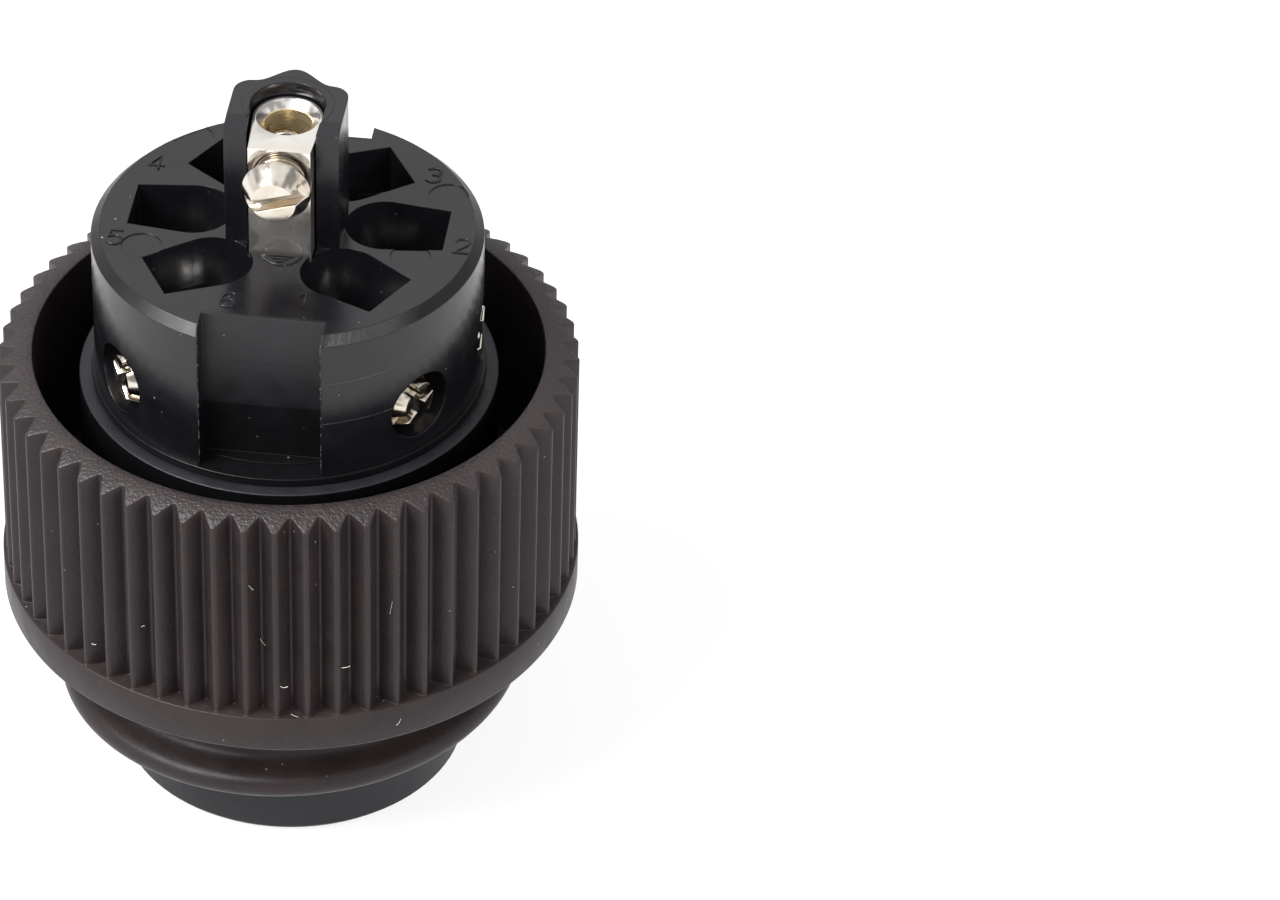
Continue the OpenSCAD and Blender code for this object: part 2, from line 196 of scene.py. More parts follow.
def parting_lines(n):
    """The carrier's marks: lines round the wall, painted shadow low in the notch, scuffed chamfers
    and a painted highlight (extra sheen) on one chamfer patch.
    """
    line_half, notch_half, notch_floor = 0.03 * MM, 3.1 * MM, 7.6 * MM
    x, y, z = n.split(n.place)
    waver = n.math("MULTIPLY", n.math("SUBTRACT", n.noise(300.0, 2.0), 0.5), 0.25 * MM)
    height = n.math("ADD", z, waver)
    line = None
    for level in PARTINGS:
        away = n.math("ABSOLUTE", n.math("SUBTRACT", height, level))
        near = n.math("LESS_THAN", away, line_half)
        line = near if line is None else n.math("MAXIMUM", line, near)

    in_notch = n.math("MULTIPLY", n.math("LESS_THAN", n.math("ABSOLUTE", x), notch_half),
                      n.math("GREATER_THAN", n.math("ABSOLUTE", y), notch_floor))
    # Below this height the keyway's floor gets a painted shadow: darker, with less sheen
    low = n.spread(height, NOTCH_SHADOW_LINE - 0.05 * MM, NOTCH_SHADOW_LINE + 0.05 * MM, 1.0, 0.0)
    painted_shade_and_sheen = n.math("MULTIPLY", in_notch, low)

    # The chamfer round the wire face, without the ejector marks, which lie further in
    top = n.spread(z, WIRE_FACE - 0.5 * MM, WIRE_FACE - 0.42 * MM)
    below = n.spread(z, WIRE_FACE - 0.03 * MM, WIRE_FACE - 0.01 * MM, 1.0, 0.0)
    flat = n.add("ShaderNodeCombineXYZ")
    n.feed(flat.inputs[0], x)
    n.feed(flat.inputs[1], y)
    far_out = n.spread(n.length(flat.outputs[0]), 9.1 * MM, 9.2 * MM)
    edge = n.math("MULTIPLY", n.math("MULTIPLY", top, below), far_out)

    # One wrinkled patch on the chamfer, right of the keyway, with a painted highlight: extra sheen
    beside = n.math("MULTIPLY", n.spread(x, 3.0 * MM, 3.6 * MM),
                    n.spread(x, 6.2 * MM, 7.4 * MM, 1.0, 0.0))
    highlight_patch = n.math("MULTIPLY", n.math("MULTIPLY", edge, beside), n.math("LESS_THAN", y, 0.0))
    wrinkle = n.noise(1500.0, 3.0, 0.6, n.stretch((2.0, 2.0, 0.6)), 1.5)
    wrinkle = n.math("MULTIPLY", highlight_patch, wrinkle)

    relief = n.math("ADD", n.math("MULTIPLY", line, 0.6), n.math("MULTIPLY", wrinkle, 2.2))
    rougher = n.math("ADD", n.math("MULTIPLY", in_notch, 0.14), n.math("MULTIPLY", edge, 0.16))
    # Painted shadow in the notch and duller chamfers; the patch's painted highlight counts below 0
    shadow_and_dulling = n.math("MAXIMUM", n.math("MULTIPLY", painted_shade_and_sheen, 0.55), n.math("MULTIPLY", edge, 0.3))
    return relief, n.math("SUBTRACT", shadow_and_dulling, n.math("MULTIPLY", highlight_patch, 1.6)), rougher


def cup_shade(n):
    """The shell's marks: painted shade on its rear body's outer wall, deep in the cup: darker,
    with less sheen, and smoother than its rims.
    """
    wall = n.spread(n.math("ABSOLUTE", n.facing_up()), 0.3, 0.6, 1.0, 0.0)
    rear = n.math("GREATER_THAN", n.split(n.place)[2], SHELL_TOP - 9 * MM)
    inside = n.math("MULTIPLY", rear, wall)
    return n.noise(3000.0, 2.0), n.math("MULTIPLY", inside, 0.8), n.math("MULTIPLY", inside, -0.1)


def sanded_rim(n):
    """The coupling ring's marks: its rim, which faces up, is sandblasted and paler."""
    high = n.math("GREATER_THAN", n.split(n.place)[2], RING_TOP - 1 * MM)
    rim = n.math("MULTIPLY", n.spread(n.facing_up(), 0.5, 0.9), high)
    depth = n.math("ADD", n.math("MULTIPLY", rim, 3.5), 0.5)
    grain = n.math("MULTIPLY", n.noise(5200.0, 2.0, 0.6), depth)
    return grain, n.math("MULTIPLY", rim, -0.9), n.math("MULTIPLY", rim, 0.05)


def moulded(name, base, rough, grain, grain_depth, mottle, dust, spec=0.5, sparkle=0.0,
            marks=None, rounding=0.0):
    """Moulded plastic: mottled colour, fine grain, rubbed patches, scratches and dust specks."""
    n = Nodes(name)
    dark = tuple(c * (1 - mottle) for c in base) + (1,)
    light = tuple(c * (1 + mottle) for c in base) + (1,)
    cloud = n.spread(n.noise(450.0, 4.0), 0.35, 0.65)
    colour = n.mix(cloud, dark, light)
    fine = n.noise(grain, 2.0)
    rubbed = n.spread(n.noise(900.0, 5.0), 0.4, 0.7)
    hair = n.noise(260.0, 2.0, 0.5, n.stretch((1.0, 9.0, 5.0)), 2.5)
    scratch = n.spread(n.math("ABSOLUTE", n.math("SUBTRACT", hair, 0.5)), 0.0, 0.0012, 1.0, 0.0)
    scratch = n.math("MULTIPLY", scratch, n.spread(n.noise(330.0), 0.58, 0.64))
    dots = n.specks(900.0, 0.07, dust * 0.16)
    tiny = n.specks(2600.0, 0.14, dust * 0.1)
    dusty = n.math("MAXIMUM", dots, tiny)
    colour = n.mix(n.math("MULTIPLY", scratch, 0.2), colour, (0.12, 0.12, 0.12, 1))
    colour = n.mix(n.math("MULTIPLY", dusty, 0.7), colour, (0.34, 0.32, 0.3, 1))
    if sparkle:
        flake = n.spread(n.noise(16000.0, 1.0), 0.62, 0.74)
        colour = n.mix(n.math("MULTIPLY", flake, sparkle), colour, (0.3, 0.28, 0.28, 1))
    level = n.math("ADD", n.spread(rubbed, 0.0, 1.0, rough - 0.04, rough + 0.05),
                   n.math("MULTIPLY", fine, 0.05))
    level = n.math("ADD", level, n.math("MULTIPLY", dusty, 0.3), clamp=True)
    sheen = spec
    if marks:
        # The marks' second share paints shade: darker colour and less sheen; below 0 it adds sheen
        raised, painted_shade_and_sheen, rougher = marks(n)
        sheen = n.math("MULTIPLY", n.math("SUBTRACT", 1.0, painted_shade_and_sheen), spec)
        level = n.math("ADD", level, rougher, clamp=True)
        colour = n.mix(painted_shade_and_sheen, colour, (0.002, 0.002, 0.002, 1))
    n.feed(n.shader.inputs["Base Color"], colour)
    n.feed(n.shader.inputs["Roughness"], level)
    n.feed(n.shader.inputs["Specular IOR Level"], sheen)
    n.shader.inputs["IOR"].default_value = 1.45
    relief = n.math("ADD", n.math("MULTIPLY", fine, grain_depth), n.math("MULTIPLY", scratch, -0.5))
    relief = n.math("ADD", relief, n.math("MULTIPLY", dusty, 2.0))
    corner = None
    if rounding:
        edges = n.add("ShaderNodeBevel", samples=6)
        edges.inputs["Radius"].default_value = rounding
        corner = edges.outputs["Normal"]
    normal = n.bump(relief, 0.35, 0.012 * MM, corner)
    if marks:
        normal = n.bump(raised, 0.8, 0.03 * MM, normal)
    n.feed(n.shader.inputs["Normal"], normal)
    return n.material


def plated(name, base, rough, tarnish, bore=None, metal=1.0):
    """Bright nickel plate over turned brass: warm tint, faint turning marks and small pits.

    Inside a bore about a place (x, y) the metal is drilled: warmer and rougher.
    """
    n = Nodes(name)
    cloud = n.spread(n.noise(700.0, 4.0), 0.4, 0.7)
    colour = n.mix(cloud, base + (1,), tarnish + (1,))
    pits = n.specks(3000.0, 0.22, 0.12)
    colour = n.mix(n.math("MULTIPLY", pits, 0.6), colour, (0.12, 0.1, 0.08, 1))
    if bore:
        axes = n.add("ShaderNodeVectorMath", operation="MULTIPLY_ADD")
        n.feed(axes.inputs[0], n.place)
        axes.inputs[1].default_value = (1, 1, 0)
        axes.inputs[2].default_value = (-bore[0], -bore[1], 0)
        inside = n.spread(n.length(axes.outputs[0]), 1.2 * MM, 1.26 * MM, 1.0, 0.0)
        colour = n.mix(inside, colour, (0.93, 0.80, 0.55, 1))
    n.feed(n.shader.inputs["Base Color"], colour)
    n.shader.inputs["Metallic"].default_value = metal
    turned = n.noise(2200.0, 2.0, 0.5, n.stretch((0.25, 0.25, 3.0)))
    waves = n.noise(900.0, 1.0)
    level = n.math("ADD", n.spread(turned, 0.3, 0.7, rough - 0.03, rough + 0.05),
                   n.math("MULTIPLY", pits, 0.3), clamp=True)
    if bore:
        level = n.math("ADD", level, n.math("MULTIPLY", inside, 0.12))
    n.feed(n.shader.inputs["Roughness"], level)
    relief = n.math("SUBTRACT", n.math("MULTIPLY", turned, 0.4), pits)
    relief = n.math("ADD", relief, n.math("MULTIPLY", waves, 3.0))
    n.feed(n.shader.inputs["Normal"], n.bump(relief, 0.2, 0.01 * MM))
    return n.material


PLASTICS = {
    "ring_plastic": dict(base=(0.0225, 0.0158, 0.0165), rough=0.40, grain=9000.0, grain_depth=1.2,
                         mottle=0.14, dust=0.7, spec=0.34, sparkle=0.07, marks=sanded_rim),
    "shell_plastic": dict(base=(0.013, 0.0135, 0.0165), rough=0.44, grain=8000.0, grain_depth=1.2,
                          mottle=0.14, dust=0.4, spec=0.42, marks=cup_shade),
    "seal_rubber": dict(base=(0.008, 0.008, 0.008), rough=0.6, grain=4000.0, grain_depth=0.5,
                        mottle=0.1, dust=0.3, spec=0.3),
    "insulator_plastic": dict(base=(0.004, 0.004, 0.0048), rough=0.3, grain=5000.0,
                              grain_depth=0.4, mottle=0.1, dust=0.4, spec=0.3),
    "carrier_plastic": dict(base=(0.0062, 0.0058, 0.0076), rough=0.2, grain=7000.0,
                            grain_depth=0.7, mottle=0.15, dust=0.9, spec=0.58,
                            marks=parting_lines, rounding=0.06 * MM),
    # The flash is real, but its pale grey is a painted highlight on the thin edges
    "flash_highlight_plastic": dict(base=(0.10, 0.097, 0.105), rough=0.35, grain=9000.0, grain_depth=0.5,
                          mottle=0.2, dust=0.2),
    "lint": dict(base=(0.6, 0.57, 0.54), rough=0.6, grain=9000.0, grain_depth=0.4, mottle=0.1,
                 dust=0.1),
}
METALS = {
    "contact_metal": dict(base=(0.80, 0.775, 0.74), rough=0.13, tarnish=(0.75, 0.70, 0.63)),
    "screw_metal": dict(base=(0.74, 0.69, 0.62), rough=0.15, tarnish=(0.64, 0.56, 0.45)),
    "earth_metal": dict(base=(0.80, 0.775, 0.74), rough=0.15, tarnish=(0.75, 0.70, 0.63),
                        bore=(0, EARTH_Y * MM), metal=0.92),
}
MATERIALS = {name: moulded(name, **look) for name, look in PLASTICS.items()}
MATERIALS.update({name: plated(name, **look) for name, look in METALS.items()})


# ---------------------------------------------------------------- the CAD nodes' finish

def soften(obj, width):
    """Welds the imported mesh, rounds its edges a little and smooths what is left."""
    weld = obj.modifiers.new("weld", "WELD")
    weld.merge_threshold = 0.0005 * MM
    bevel = obj.modifiers.new("bevel", "BEVEL")
    bevel.width = width
    bevel.segments = 2
    bevel.limit_method = "ANGLE"
    bevel.angle_limit = math.radians(30)
    bevel.use_clamp_overlap = True
    bevel.miter_outer = "MITER_ARC"
    normals = obj.modifiers.new("normals", "WEIGHTED_NORMAL")
    normals.mode = "FACE_AREA"
    normals.weight = 80


# Width in millimetres by which the edges of a finish are rounded. The carrier's are rounded by its
# material, and the coupling ring is replaced below.
EDGES = {"shell_plastic": 0.08, "insulator_plastic": 0.05, "contact_metal": 0.06,
         "screw_metal": 0.04}

for part in frame["record"]["subparts"]:
    node = frame["nodes"][part["node"]]
    finish = part["material_slot"]
    surface = MATERIALS["earth_metal" if part["node"] == "contact_earth" else finish]
    for slot in node.material_slots:
        slot.material = surface
    if not node.material_slots:
        node.data.materials.append(surface)
    if finish in EDGES:
        soften(node, EDGES[finish] * MM)


# ---------------------------------------------------------------- pieces in mesh code

def make_piece(name, points, faces, finish, body="insert", sharp=35.0):
    """A piece in metres, shaded smooth up to an angle, that rides on a body."""
    mesh = bpy.data.meshes.new(name)
    mesh.from_pydata([tuple(p) for p in points], [], faces)
    b = bmesh.new()
    b.from_mesh(mesh)
    bmesh.ops.recalc_face_normals(b, faces=b.faces[:])
    limit = math.radians(sharp)
    for face in b.faces:
        face.smooth = True
    for edge in b.edges:
        if len(edge.link_faces) == 2 and edge.calc_face_angle(0.0) > limit:
            edge.smooth = False
    b.to_mesh(mesh)
    b.free()
    mesh.materials.append(MATERIALS[finish])
    obj = bpy.data.objects.new(name, mesh)
    bpy.context.scene.collection.objects.link(obj)
    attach(obj, body)
    return obj


def strip_faces(rows, columns, first=0, closed=False):
    """Quads between rows of points, where each row is a loop of so many columns.

    In a closed strip the last row joins the first.
    """
    faces = []
    for i in range(rows if closed else rows - 1):
        row, above = first + i * columns, first + (i + 1) % rows * columns
        for k in range(columns):
            after = (k + 1) % columns
            faces.append((row + k, row + after, above + after, above + k))
    return faces


def rod_faces(rows, columns, first=0):
    """The faces of a rod: quads between its rows and a cap on each end."""
    last = first + (rows - 1) * columns
    return strip_faces(rows, columns, first) + [tuple(first + k for k in reversed(range(columns))),
                                                tuple(last + k for k in range(columns))]


# ---- coupling ring: rounded flutes, rounded rim and the full round thread

# Its sizes, in millimetres and degrees. Heights count from the mating rim.
FLUTES = 60
VALLEY_R, FLUTE_DEPTH = 13.68, 0.85
BORE_R, BAND_R, NECK_BORE_R = 12.8, 14.68, 9.15
MOUTH, RIM_DROP, BAND_TOP, BAND_LOW = 24.7, 0.5, 12.6, 10.55
NECK_FACE, CUP_FLOOR = 3.9, 14.15
THREAD_P, THREAD_ROOT, THREAD_CREST = 3.175, 10.4125, 12.0
THREAD_FRONT, THREAD_START, THREAD_BLUNT = 5.50, 133.0, 7.0
ARC_R, ARC_ANGLE = 0.23851 * THREAD_P, 75
# Angle from a crest's centre line and share of the flute's depth
FLUTE_SHAPE = ((0.2, 1.0), (0.42, 0.965), (0.68, 0.87), (1.6, 0.475), (2.45, 0.12), (2.72, 0.03))


def thread_radius(angle, z):
    """Radius of the round thread's surface, with a blunt start."""
    height = z - THREAD_FRONT - THREAD_P * angle / 360
    turn = round(height / THREAD_P)
    side = abs(height - turn * THREAD_P)
    if turn < -1 or (turn == -1 and angle < THREAD_START):
        return THREAD_ROOT
    edge = ARC_R * math.sin(math.radians(ARC_ANGLE))
    low = THREAD_P / 2 - edge
    if side <= edge:
        radius = THREAD_CREST - ARC_R + math.sqrt(ARC_R ** 2 - side ** 2)
    elif side >= low:
        radius = THREAD_ROOT + ARC_R - math.sqrt(ARC_R ** 2 - (THREAD_P / 2 - side) ** 2)
    else:
        high = THREAD_CREST - ARC_R + math.sqrt(ARC_R ** 2 - edge ** 2)
        foot = THREAD_ROOT + ARC_R - math.sqrt(ARC_R ** 2 - edge ** 2)
        radius = high + (foot - high) * (side - edge) / (low - edge)
    if turn == -1:
        lift = min(1.0, (angle - THREAD_START) / THREAD_BLUNT)
        radius = THREAD_ROOT + (radius - THREAD_ROOT) * math.sin(lift * math.pi / 2)
    return radius


def ring_profile(share, angle):
    """Points (radius, height) once round the ring's section at one angle."""
    outer = VALLEY_R + share * FLUTE_DEPTH
    crest = VALLEY_R + FLUTE_DEPTH

    def rim(radius):
        return MOUTH - RIM_DROP * ((radius - BORE_R) / (crest - BORE_R)) ** 2

    points = [(BORE_R, MOUTH - 0.09), (BORE_R + 0.02, MOUTH - 0.03),
              (BORE_R + 0.08, rim(BORE_R + 0.08))]
    for step in (0.3, 0.6, 0.85):
        radius = BORE_R + 0.08 + step * (outer - BORE_R - 0.13)
        points.append((radius, rim(radius)))
    top = rim(outer)
    points += [(outer - 0.05, rim(outer - 0.05)), (outer - 0.015, top - 0.012), (outer, top - 0.05)]
    points += [(outer, top + (BAND_TOP + 0.2 - top) * t) for t in (0.03, 0.25, 0.5, 0.75, 1.0)]
    points += [(outer, BAND_TOP + 0.08), (outer + 0.02, BAND_TOP + 0.02), (outer + 0.06, BAND_TOP)]
    points += [(BAND_R - 0.06, BAND_TOP), (BAND_R - 0.018, BAND_TOP - 0.018),
               (BAND_R, BAND_TOP - 0.06), (BAND_R, BAND_LOW + 0.14),
               (BAND_R - 0.04, BAND_LOW + 0.04), (BAND_R - 0.14, BAND_LOW)]
    points += [(13.4, BAND_LOW), (12.3, BAND_LOW)]
    rows = 46
    for i in range(rows + 1):
        z = BAND_LOW - 0.02 - (BAND_LOW - 0.02 - NECK_FACE - 0.05) * i / rows
        points.append((thread_radius(angle, z), z))
    face = thread_radius(angle, NECK_FACE)
    points += [(face - 0.05, NECK_FACE), (NECK_BORE_R + 0.08, NECK_FACE),
               (NECK_BORE_R, NECK_FACE + 0.08)]
    points += [(NECK_BORE_R, 9.0), (NECK_BORE_R, CUP_FLOOR), (11.0, CUP_FLOOR), (BORE_R, CUP_FLOOR)]
    points += [(BORE_R, 18.0), (BORE_R, 22.0)]
    return points


def make_ring():
    shape = [(-a, k) for a, k in reversed(FLUTE_SHAPE)] + list(FLUTE_SHAPE) + [(3.0, 0.0)]
    points = []
    for i in range(FLUTES):
        for offset, share in shape:
            angle = (i * 360 / FLUTES + offset) % 360
            section = ring_profile(share, angle)
            points += [around(r * MM, angle, z * MM) for r, z in section]
    columns = len(section)
    faces = strip_faces(FLUTES * len(shape), columns, closed=True)
    ring = make_piece("ring_dressed", points, faces, "ring_plastic", "ring", sharp=50.0)
    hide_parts("coupling_ring")


make_ring()


# ---- raised signs: the contact numbers and the earth symbol

DIGITS = {
    1: [[(-0.2, 0.72), (0.06, 1.0), (0.06, 0.0)]],
    2: [[(-0.3, 0.78), (-0.24, 0.93), (-0.08, 1.0), (0.1, 1.0), (0.26, 0.92), (0.3, 0.76),
         (0.24, 0.6), (-0.3, 0.0), (0.32, 0.0)]],
    3: [[(-0.28, 0.9), (-0.1, 1.0), (0.12, 1.0), (0.28, 0.88), (0.28, 0.66), (0.12, 0.54),
         (-0.08, 0.53)],
        [(0.12, 0.54), (0.3, 0.4), (0.3, 0.14), (0.12, 0.0), (-0.12, 0.0), (-0.3, 0.12)]],
    4: [[(0.1, 0.0), (0.1, 1.0), (-0.34, 0.3), (0.34, 0.3)]],
    5: [[(0.28, 1.0), (-0.24, 1.0), (-0.28, 0.54), (-0.08, 0.62), (0.14, 0.6), (0.3, 0.44),
         (0.3, 0.18), (0.14, 0.02), (-0.12, 0.0), (-0.3, 0.12)]],
    6: [[(0.26, 0.92), (0.06, 1.0), (-0.14, 0.94), (-0.28, 0.7), (-0.3, 0.3), (-0.2, 0.06),
         (0.0, 0.0), (0.2, 0.06), (0.3, 0.26), (0.22, 0.48), (0.02, 0.56), (-0.2, 0.48),
         (-0.3, 0.3)]],
}
SIGN_W, SIGN_H, SIGN_ROOT = 0.13, 0.075, 0.03


def stroke(points, faces, path, z, up):
    """One raised stroke with a rounded top along a path in the plane, closed at both ends."""
    section = [(-0.5, -SIGN_ROOT), (-0.5, 0.35 * SIGN_H), (-0.24, SIGN_H), (0.24, SIGN_H),
               (0.5, 0.35 * SIGN_H), (0.5, -SIGN_ROOT)]
    first = len(points)
    count = len(path)
    for i, spot in enumerate(path):
        spot = Vector(spot)
        before = (spot - Vector(path[i - 1])).normalized() if i else None
        after = (Vector(path[i + 1]) - spot).normalized() if i < count - 1 else None
        along = ((before or after) + (after or before)).normalized()
        across = Vector((-along.y, along.x))
        widen = 1.0 if before is None or after is None else min(1.6, 1 / max(0.5, along.dot(after)))
        for s, h in section:
            flat = spot + across * s * SIGN_W * widen
            points.append(Vector((flat.x, flat.y, 0)) * MM + Vector((0, 0, z + up * h * MM)))
    faces += rod_faces(count, len(section), first)


def ring_path(centre, radius, start, end, steps):
    turns = [math.radians(start + (end - start) * i / steps) for i in range(steps + 1)]
    return [(centre[0] + radius * math.cos(a), centre[1] + radius * math.sin(a)) for a in turns]


def write_digits(points, faces, places, height, z, up, flip):
    for digit, (x, y) in places.items():
        for path in DIGITS[digit]:
            spots = [(x + flip * px * height, y + (py - 0.5) * height) for px, py in path]
            stroke(points, faces, spots, z, up)


def make_signs():
    points, faces = [], []
    wire_places = {1: (1.73, -6.1), 6: (-1.88, -6.6), 5: (-8.2, -2.3), 4: (-7.2, 4.2),
                   3: (6.56, 5.1), 2: (8.75, -0.6)}
    write_digits(points, faces, wire_places, 1.15, WIRE_FACE, 1, 1)
    x, y, radius = 0.1, -2.45, 0.975
    stroke(points, faces, ring_path((x, y), radius, 188, 352, 20), WIRE_FACE, 1)
    for drop, half in ((0.24, 0.62), (0.46, 0.4), (0.67, 0.2)):
        stroke(points, faces, [(x - half, y - drop), (x + half, y - drop)], WIRE_FACE, 1)
    make_piece("wire_face_signs", points, faces, "carrier_plastic")

    points, faces = [], []
    mating_places = {6: (-1.66, -5.85), 1: (1.66, -5.85), 4: (-4.3, 3.9), 3: (4.3, 3.9),
                     2: (5.9, -1.9), 5: (-5.9, -1.9)}
    write_digits(points, faces, mating_places, 1.0, MATING_FLOOR, -1, -1)
    x, y = 0.0, -2.84
    stroke(points, faces, ring_path((x, y), radius, 0, 360, 40), MATING_FLOOR, -1)
    stroke(points, faces, [(x, y + 0.75), (x, y + 0.1)], MATING_FLOOR, -1)
    for drop, half in ((-0.08, 0.62), (0.2, 0.42), (0.46, 0.22)):
        stroke(points, faces, [(x - half, y - drop), (x + half, y - drop)], MATING_FLOOR, -1)
    make_piece("mating_face_signs", points, faces, "insulator_plastic")


make_signs()


# ---- shallow threads on the screws' shanks, with the rounded tips that show in the wire holes

def contact_frame(n):
    """A contact's axis in the plane, the direction of its screw and the screw's height."""
    if n == "earth":
        return Vector((0, EARTH_Y * MM, 0)), around(1, 0), EARTH_BLOCK_TOP - SCREW_DROP
    side, count = (1, n - 1) if n <= 3 else (-1, 6 - n)
    pin = side * (FIRST_PIN + count * PIN_STEP)
    screw = side * (MIDDLE_SCREW + (count - 1) * SCREW_STEP)
    return around(PIN_CIRCLE_R * MM, pin), around(1, screw), BLOCK_TOP - SCREW_DROP


def make_thread(n):
    """A shank's thread, with a conical tip that stays clear of the closed terminal."""
    axis, forward, height = contact_frame(n)
    across = Vector((0, 0, 1)).cross(forward)
    up = Vector((0, 0, 1))
    centre = axis + height * MM * up
    tip, start, end, pitch = -0.03, 0.1, 3.2, 0.45
    root_r, depth, tip_share, tip_length = 1.12, 0.155, 0.62, 1.15
    rows, steps = 96, 36
    points = []
    for i in range(rows + 1):
        along = tip + (end - tip) * i / rows
        for k in range(steps):
            turn = math.radians(k * 360 / steps)
            phase = (along - start) / pitch - k / steps
            crest = 0.5 + 0.5 * math.cos(2 * math.pi * phase)
            cone = min(1.0, tip_share + (along - tip) / tip_length)
            radius = (root_r + depth * crest ** 1.5) * cone
            spoke = math.cos(turn) * across + math.sin(turn) * up
            points.append(centre + (forward * along + spoke * radius) * MM)
    make_piece(f"shank_thread_{n}", points, rod_faces(rows + 1, steps), "screw_metal",
               f"screw_{n}", sharp=60.0)


for terminal in (1, 2, 3, 4, 5, 6, "earth"):
    make_thread(terminal)


# ---- the upright lip round the earth block's socket

def make_tower_lip():
    """It fills the socket's lead-in, so that the wall stands straight up to the tower's top."""
    top, depth, inner, outer, flat = TOWER_TOP / MM, 0.42, 1.85, 2.27, 1.83
    start, end, steps = -34.5, 214.5, 60
    centre = Vector((0, EARTH_Y, 0))
    points = []
    for i in range(steps + 1):
        turn = start + (end - start) * i / steps
        out = Vector((math.cos(math.radians(turn)), math.sin(math.radians(turn)), 0))
        near = inner if out.y > 0 else max(inner, flat / abs(out.x))
        near = min(near, outer - 0.02)
        low = depth * (outer - near) / (outer - inner)
        section = ((near, top - low), (near, top - 0.03), (near + 0.012, top + 0.001),
                   (outer, top + 0.003))
        points += [(centre + out * r + Vector((0, 0, z))) * MM for r, z in section]
    make_piece("tower_lip", points, rod_faces(steps + 1, 4), "carrier_plastic")


make_tower_lip()


# ---- thin flash along the keyways' edges, pale with a painted highlight, and a few fibres of lint

def make_flash():
    draw = random.Random(4)
    points, faces = [], []
    half, carrier_r, steps = 3.025, 9.7, 70
    wall = math.sqrt(carrier_r ** 2 - half ** 2)
    low, high = FLANGE_TOP / MM + 0.05, WIRE_FACE / MM - 0.3
    for side_y in (-1, 1):
        for side_x in (-1, 1):
            first = len(points)
            for i in range(steps + 1):
                z = low + (high - low) * i / steps
                tall = 0.005 + 0.075 * draw.random() ** 3
                tip = (half - tall * 0.8, wall + tall * 0.3)
                for x, y in ((half + 0.03, wall - 0.03), tip, (half + 0.01, wall - 0.07)):
                    points.append(Vector((side_x * x, side_y * y, z)) * MM)
            faces += rod_faces(steps + 1, 3, first)
    make_piece("keyway_flash", points, faces, "flash_highlight_plastic")


def make_lint(name, body, spots):
    """Short bent fibres: each starts at a radius, angle and height and lies against the wall."""
    draw = random.Random(11)
    steps, thick = 6, 0.016
    up = Vector((0, 0, 1))
    points, faces = [], []
    for radius, angle, z, length, lean in spots:
        first = len(points)
        bend = draw.uniform(-0.8, 0.8)
        place = around(radius, angle, z)
        out = around(1, angle)
        side = up.cross(out)
        for i in range(steps + 1):
            t = i / steps - 0.5
            turn = math.radians(lean) + bend * t
            spot = place + (side * math.cos(turn) + up * math.sin(turn)) * t * length
            spot += out * (0.02 + 0.1 * (0.25 - t * t))
            for k in range(3):
                a = math.radians(120 * k)
                points.append((spot + thick * (math.cos(a) * out + math.sin(a) * up)) * MM)
        faces += rod_faces(steps + 1, 3, first)
    make_piece(name, points, faces, "lint", body)


make_flash()
make_lint("ring_lint", "ring", (
    (14.56, 28.5, 18.9, 0.75, 80), (14.6, 19.5, 15.7, 0.42, 5), (14.55, 7.5, 14.6, 0.42, 0),
    (14.5, 3.5, 17.4, 0.5, 120), (14.62, 1.5, 20.9, 0.35, 130), (14.7, 9.5, 12.9, 0.4, 150),
    (14.56, -21.0, 17.0, 0.3, 40), (14.6, -33.0, 14.4, 0.35, 20), (14.73, 30.0, 11.6, 0.45, 60)))


# ---------------------------------------------------------------- floor, light and camera

def backdrop_material(tone, glow):
    """A white floor: its glow is seen by the camera and in reflections, and shadows stay soft."""
    n = Nodes("floor")
    n.feed(n.shader.inputs["Base Color"], (tone, tone, tone, 1))
    n.feed(n.shader.inputs["Roughness"], 0.9)
    n.feed(n.shader.inputs["Specular IOR Level"], 0.0)
    rays = n.add("ShaderNodeLightPath")
    seen = n.math("MAXIMUM", rays.outputs["Is Camera Ray"], rays.outputs["Is Glossy Ray"])
    seen = n.math("MAXIMUM", seen, rays.outputs["Is Transmission Ray"])
    n.feed(n.shader.inputs["Emission Color"], (1, 1, 1, 1))
    n.feed(n.shader.inputs["Emission Strength"], n.math("MULTIPLY", seen, glow))
    return n.material


def make_floor(size):
    mesh = bpy.data.meshes.new("floor")
    b = bmesh.new()
    bmesh.ops.create_grid(b, x_segments=1, y_segments=1, size=size)
    b.to_mesh(mesh)
    b.free()
    floor = bpy.data.objects.new("floor", mesh)
    floor.location.z = cad_box[0].z - 0.00002
    mesh.materials.append(backdrop_material(tone=0.26, glow=0.79))
    bpy.context.scene.collection.objects.link(floor)


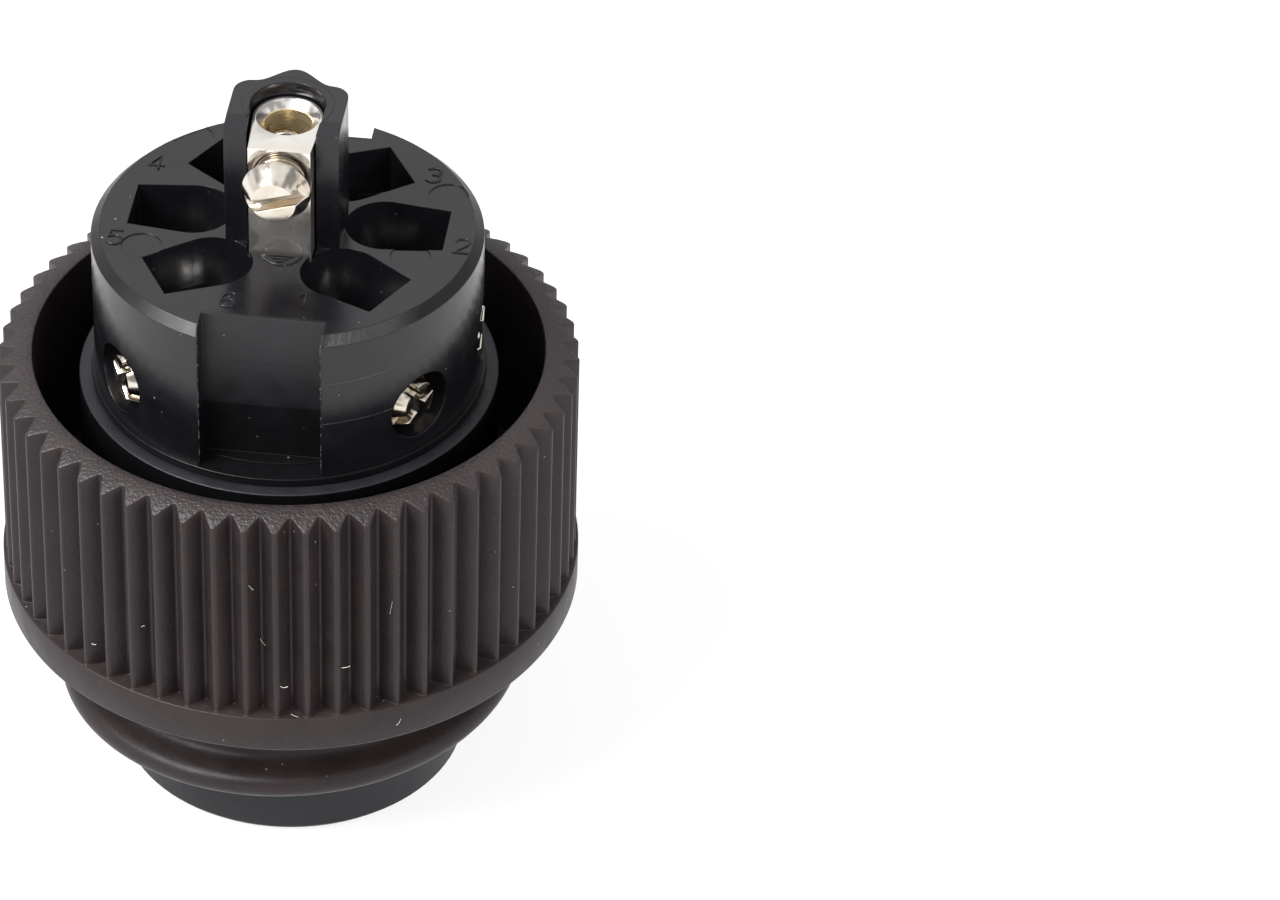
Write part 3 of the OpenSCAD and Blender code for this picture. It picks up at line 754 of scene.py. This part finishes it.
def make_world(strength):
    """White to the camera. Reflections show the white room with a few dimmer sides."""
    world = bpy.data.worlds.new("world")
    bpy.context.scene.world = world
    world.use_nodes = True
    tree = world.node_tree
    shade = tree.nodes["Background"]
    shade.inputs["Color"].default_value = (1, 1, 1, 1)

    def sum_up(operation, a, b):
        node = tree.nodes.new("ShaderNodeMath")
        node.operation = operation
        for socket, value in zip(node.inputs, (a, b)):
            if isinstance(value, bpy.types.NodeSocket):
                tree.links.new(value, socket)
            else:
                socket.default_value = value
        return node.outputs[0]

    rays = tree.nodes.new("ShaderNodeLightPath")
    place = tree.nodes.new("ShaderNodeTexCoord").outputs["Generated"]
    sides = tree.nodes.new("ShaderNodeTexNoise")
    tree.links.new(place, sides.inputs["Vector"])
    sides.inputs["Scale"].default_value = 2.3
    sides.inputs["Detail"].default_value = 1.0
    room = tree.nodes.new("ShaderNodeMapRange")
    tree.links.new(sides.outputs["Fac"], room.inputs["Value"])
    room.inputs["From Min"].default_value = 0.44
    room.inputs["From Max"].default_value = 0.56
    room.inputs["To Min"].default_value = 0.32
    room.inputs["To Max"].default_value = 1.05
    direct = rays.outputs["Is Camera Ray"]
    mirrored = sum_up("MAXIMUM", rays.outputs["Is Glossy Ray"], rays.outputs["Is Transmission Ray"])
    plain = sum_up("MAXIMUM", direct, sum_up("MULTIPLY", mirrored, room.outputs[0]))
    either = sum_up("MAXIMUM", direct, mirrored)
    level = sum_up("ADD", plain, sum_up("MULTIPLY", sum_up("SUBTRACT", 1.0, either), strength))
    tree.links.new(level, shade.inputs["Strength"])


def make_lamp(name, place, aim, size, power, mirrored=False):
    data = bpy.data.lights.new(name, "AREA")
    data.shape = "DISK"
    data.size = size
    data.energy = power
    lamp = bpy.data.objects.new(name, data)
    lamp.location = place
    lamp.rotation_mode = "QUATERNION"
    lamp.rotation_quaternion = (Vector(aim) - Vector(place)).to_track_quat("-Z", "Y")
    lamp.visible_glossy = mirrored
    bpy.context.scene.collection.objects.link(lamp)


def make_camera():
    """The camera stands at the picture's angle and aims to the right of the part."""
    azimuth, elevation, roll = (math.radians(a) for a in (9.3, 38.1, -0.69))
    distance, aside = 0.316, math.radians(3.211)
    target = Vector((0, 0, 18 * MM))
    back = Vector((math.sin(azimuth) * math.cos(elevation),
                   -math.cos(azimuth) * math.cos(elevation), math.sin(elevation)))
    flat_right = Vector((math.cos(azimuth), math.sin(azimuth), 0))
    flat_up = back.cross(flat_right)
    right = math.cos(roll) * flat_right + math.sin(roll) * flat_up
    up = math.cos(roll) * flat_up - math.sin(roll) * flat_right
    turned_right = math.cos(aside) * right + math.sin(aside) * back
    turned_back = math.cos(aside) * back - math.sin(aside) * right
    data = bpy.data.cameras.new("camera")
    data.sensor_width = 36
    data.lens = 175.2
    camera = bpy.data.objects.new("camera", data)
    camera.matrix_world = Matrix.Translation(target + distance * back) @ Matrix(
        (turned_right, up, turned_back)).transposed().to_4x4()
    bpy.context.scene.collection.objects.link(camera)
    bpy.context.scene.camera = camera


make_floor(0.6)
make_world(0.55)
make_lamp("key", (-0.2, -0.16, 0.3), (0, 0, 0.02), 0.26, 2.4, True)
make_lamp("fill", (0.25, -0.2, 0.2), (0, 0, 0.02), 0.25, 0.9)
make_camera()

scene = bpy.context.scene
scene.view_settings.view_transform = "Standard"
